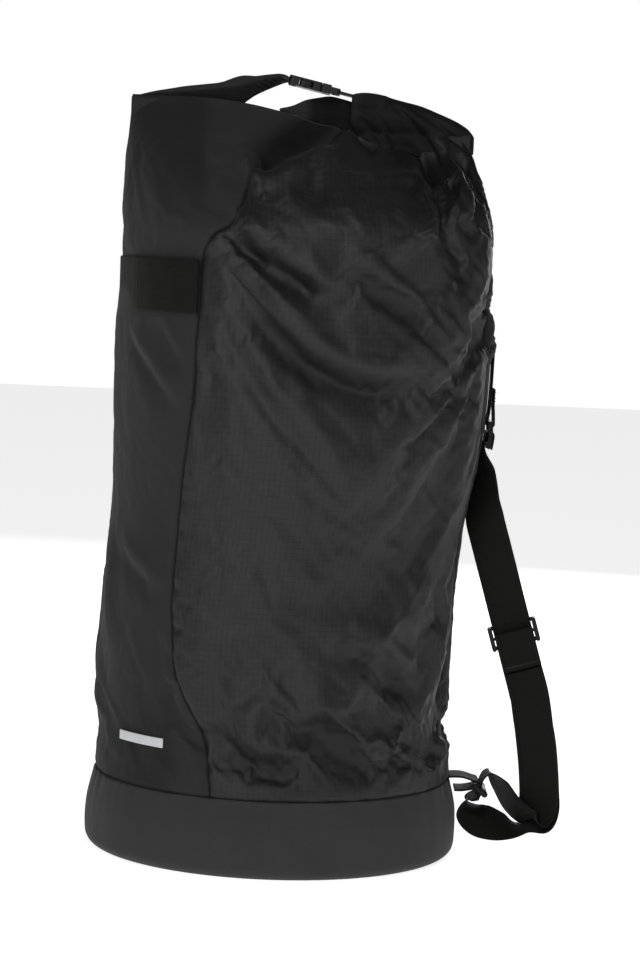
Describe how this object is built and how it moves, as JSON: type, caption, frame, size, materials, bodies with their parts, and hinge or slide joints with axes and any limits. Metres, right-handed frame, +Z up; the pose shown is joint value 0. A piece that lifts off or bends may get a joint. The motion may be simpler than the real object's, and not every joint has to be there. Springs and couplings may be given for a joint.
{
  "type": "rope storage bag",
  "caption": "Tall round soft bag on a deep base band, with a rolled mouth clipped by a side-release buckle, a grab handle and a carrying strap.",
  "frame": {"origin": "middle of the base panel's underside, on the floor", "axes": "+Z up, +X towards the carrying strap on the back, -X towards the front panel"},
  "size_m": [0.466, 0.364, 0.7501],
  "materials": {
    "heavy_fabric": "matte coated polyester",
    "ripstop": "ripstop with a soft sheen",
    "webbing": "woven webbing",
    "thread": "bonded thread",
    "binding_tape": "woven tape",
    "buckle_plastic": "moulded acetal",
    "board": "plastic board",
    "reflective": "reflective film"
  },
  "bodies": {
    "bag": {"base_panel": "heavy_fabric", "base_stiffener": "board", "base_band": "heavy_fabric", "base_seam_binding": "binding_tape", "front_panel": "heavy_fabric", "side_panel_near": "ripstop", "side_panel_far": "ripstop", "back_panel": "heavy_fabric", "seam_bindings": "binding_tape", "rolled_mouth": "heavy_fabric", "mouth_stiffener": "board", "grab_handle": "webbing", "handle_stitch_bars": "thread", "reflective_tab": "reflective", "rope_loop_base": "webbing", "rope_loop_top": "webbing", "upper_tab": "webbing", "upper_tab_stitches": "thread", "lower_tab": "webbing"},
    "closure": {"left_arm": "heavy_fabric", "right_arm": "heavy_fabric", "buckle_socket": "buckle_plastic", "socket_webbing": "webbing"},
    "insert": {"buckle_insert": "buckle_plastic", "insert_webbing": "webbing"},
    "prong_near": {"prong_near": "buckle_plastic"},
    "prong_far": {"prong_far": "buckle_plastic"},
    "strap": {"strap_top_run": "webbing", "strap_main_run": "webbing", "strap_low_bend": "webbing", "strap_return_run": "webbing"},
    "slider": {"slider": "buckle_plastic", "strap_end_fold": "webbing"},
    "ladder_lock": {"ladder_lock": "buckle_plastic"},
    "ring": {"lower_ring": "buckle_plastic"}
  },
  "joints": [
    {"name": "closure_tilt", "type": "hinge", "parent": "bag", "child": "closure", "pos_m": [-0.156, 0, 0.7264], "axis": [0.9974, 0, -0.0719], "range_deg": [-30, 30]},
    {"name": "buckle_release", "type": "slide", "parent": "closure", "child": "insert", "axis": [0.9774, 0, -0.2113], "range_m": [0, 0.03], "deforming": ["prong_near", "prong_far"]},
    {"name": "prong_far_squeeze", "type": "hinge", "parent": "insert", "child": "prong_far", "pos_m": [0.02578, 0.0074, 0.73659], "axis": [0.2113, 0, 0.9774], "range_deg": [0, 6], "stiffness_Nm_per_rad": 1},
    {"name": "prong_near_squeeze", "type": "hinge", "parent": "insert", "child": "prong_near", "pos_m": [0.02578, -0.0074, 0.73659], "axis": [0.2113, 0, 0.9774], "range_deg": [-6, 0], "stiffness_Nm_per_rad": 1},
    {"name": "strap_swing", "type": "hinge", "parent": "bag", "child": "strap", "pos_m": [0.198, 0, 0.4215], "axis": [-0.0014, 0, 1], "range_deg": [-80, 80], "deforming": ["strap_top_run", "strap_low_bend", "strap_return_run"]},
    {"name": "slider_slide", "type": "slide", "parent": "strap", "child": "slider", "axis": [-0.2873, 0, 0.9578], "range_m": [0, 0.05], "deforming": ["strap_return_run"]},
    {"name": "ladder_lock_pivot", "type": "hinge", "parent": "bag", "child": "ladder_lock", "pos_m": [0.198, 0, 0.4215], "axis": [0, 1, 0], "range_deg": [-18, 0], "deforming": ["strap_top_run"]},
    {"name": "ring_pivot", "type": "hinge", "parent": "bag", "child": "ring", "pos_m": [0.1985, 0, 0.0685], "axis": [0, 1, 0], "range_deg": [-20, 20], "deforming": ["strap_low_bend", "strap_return_run"]}
  ],
  "couplings": [
    {"joint": "prong_near_squeeze", "follows": "prong_far_squeeze", "ratio": -1}
  ]
}
